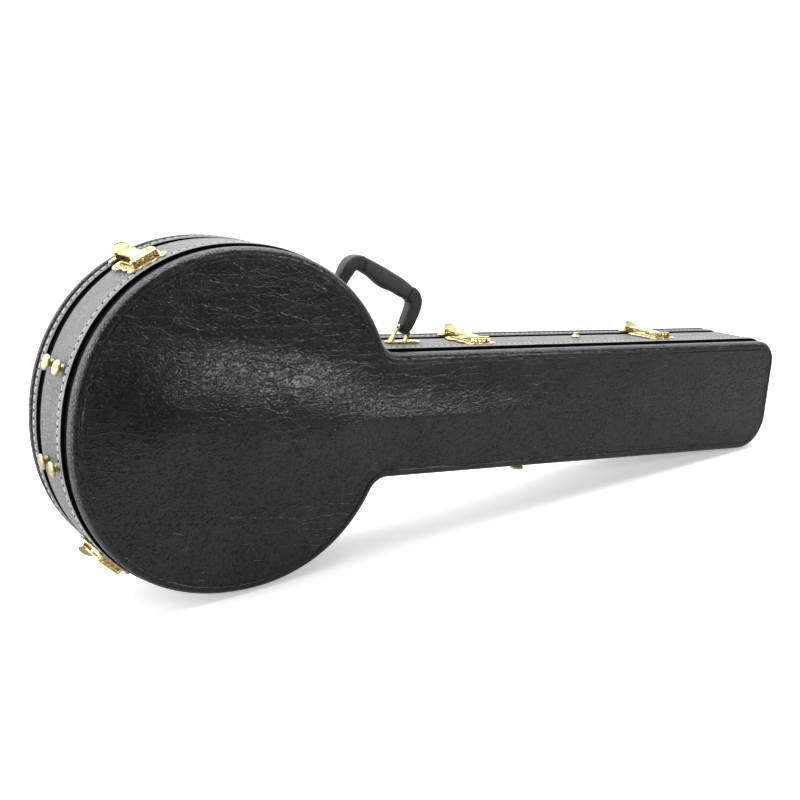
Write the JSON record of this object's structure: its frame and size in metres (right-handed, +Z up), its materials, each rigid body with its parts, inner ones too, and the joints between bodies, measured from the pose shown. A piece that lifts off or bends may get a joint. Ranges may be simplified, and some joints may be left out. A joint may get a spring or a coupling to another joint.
{
  "type": "banjo hard case",
  "caption": "Hard-shell banjo case with round drum section, long neck section, hinged lid, draw latches and folding handle, lined inside.",
  "frame": {"origin": "centre of the bounding box's bottom, on the floor the case stands on", "axes": "+X towards the neck end, +Y from the arched back panel towards the lid, +Z up towards the handle; the case stands on its hinge edge"},
  "size_m": [1.0762, 0.1618, 0.3885],
  "materials": {
    "vinyl_side": "fine pebble-grain leatherette, satin",
    "vinyl_face": "coarse crackle-grain leatherette, semi-gloss",
    "black_trim": "matt black extruded piping",
    "ribbon": "woven ribbon",
    "handle_pebble": "pebbled moulded plastic",
    "handle_grip": "smooth satin moulded plastic",
    "steel_pin": "plain bright",
    "brass": "polished pale gold plate",
    "plush": "short-pile plush"
  },
  "bodies": {
    "shell": {"accessory_rod": "steel_pin", "back_panel": "vinyl_face", "back_trim": "black_trim", "box_lining": "plush", "box_valance": "black_trim", "box_wall": "vinyl_side", "handle_bracket_drum": "brass", "handle_bracket_neck": "brass", "handle_pin_drum": "steel_pin", "handle_pin_neck": "steel_pin", "headstock_block": "plush", "hinge_box_leaf_1": "brass", "hinge_box_leaf_2": "brass", "hinge_pin_1": "steel_pin", "hinge_pin_2": "steel_pin", "latch_base_1": "brass", "latch_base_2": "brass", "latch_base_3": "brass", "latch_base_4": "brass", "latch_pin_1": "steel_pin", "latch_pin_2": "steel_pin", "latch_pin_3": "steel_pin", "latch_pin_4": "steel_pin", "neck_cradle_far": "plush", "neck_cradle_near": "plush", "neck_stud": "brass", "stay_ribbon": "ribbon", "stud_foot_1": "brass", "stud_foot_2": "brass", "stud_foot_3": "brass", "stud_foot_4": "brass", "stud_foot_5": "brass"},
    "lid": {"hinge_lid_leaf_1": "brass", "hinge_lid_leaf_2": "brass", "latch_strike_1": "brass", "latch_strike_2": "brass", "latch_strike_3": "brass", "latch_strike_4": "brass", "lid_lining": "plush", "lid_neck_pad": "plush", "lid_panel": "vinyl_face", "lid_trim": "black_trim", "lid_wall": "vinyl_side"},
    "latch_lever_1": {"latch_tongue_1": "brass"},
    "latch_lever_2": {"latch_tongue_2": "brass"},
    "latch_lever_3": {"latch_tongue_3": "brass"},
    "latch_lever_4": {"latch_tongue_4": "brass"},
    "handle": {"handle_grip": "handle_grip", "handle_leg_drum": "handle_pebble", "handle_leg_neck": "handle_pebble"},
    "accessory_flap": {"accessory_lid": "plush", "accessory_tab": "ribbon"}
  },
  "joints": [
    {"name": "lid_hinge", "type": "hinge", "parent": "shell", "child": "lid", "pos_m": [-0.33304, 0.031, 0.0025], "axis": [-1, 0, 0], "range_deg": [0, 90]},
    {"name": "latch_pivot_1", "type": "hinge", "parent": "shell", "child": "latch_lever_1", "pos_m": [-0.41924, -0.0225, 0.37292], "axis": [0.9242, 0, 0.3819], "range_deg": [0, 120]},
    {"name": "latch_pivot_2", "type": "hinge", "parent": "shell", "child": "latch_lever_2", "pos_m": [-0.48586, -0.0225, 0.05638], "axis": [-0.6823, 0, 0.7311], "range_deg": [0, 120]},
    {"name": "latch_pivot_3", "type": "hinge", "parent": "shell", "child": "latch_lever_3", "pos_m": [0.00925, -0.0225, 0.22844], "axis": [0.9926, 0, -0.1214], "range_deg": [0, 120]},
    {"name": "latch_pivot_4", "type": "hinge", "parent": "shell", "child": "latch_lever_4", "pos_m": [0.33484, -0.0225, 0.1886], "axis": [0.9926, 0, -0.1214], "range_deg": [0, 120]},
    {"name": "handle_fold", "type": "hinge", "parent": "shell", "child": "handle", "pos_m": [-0.13474, -0.0015, 0.28231], "axis": [0.8, 0, -0.6], "range_deg": [-70, 70]},
    {"name": "accessory_hinge", "type": "hinge", "parent": "shell", "child": "accessory_flap", "pos_m": [0.0555, -0.0215, 0.08265], "axis": [-0.9913, 0, 0.1317], "range_deg": [0, 85]}
  ],
  "couplings": [
    {"joint": "accessory_hinge", "follows": "lid_hinge", "ratio": 0.944}
  ]
}
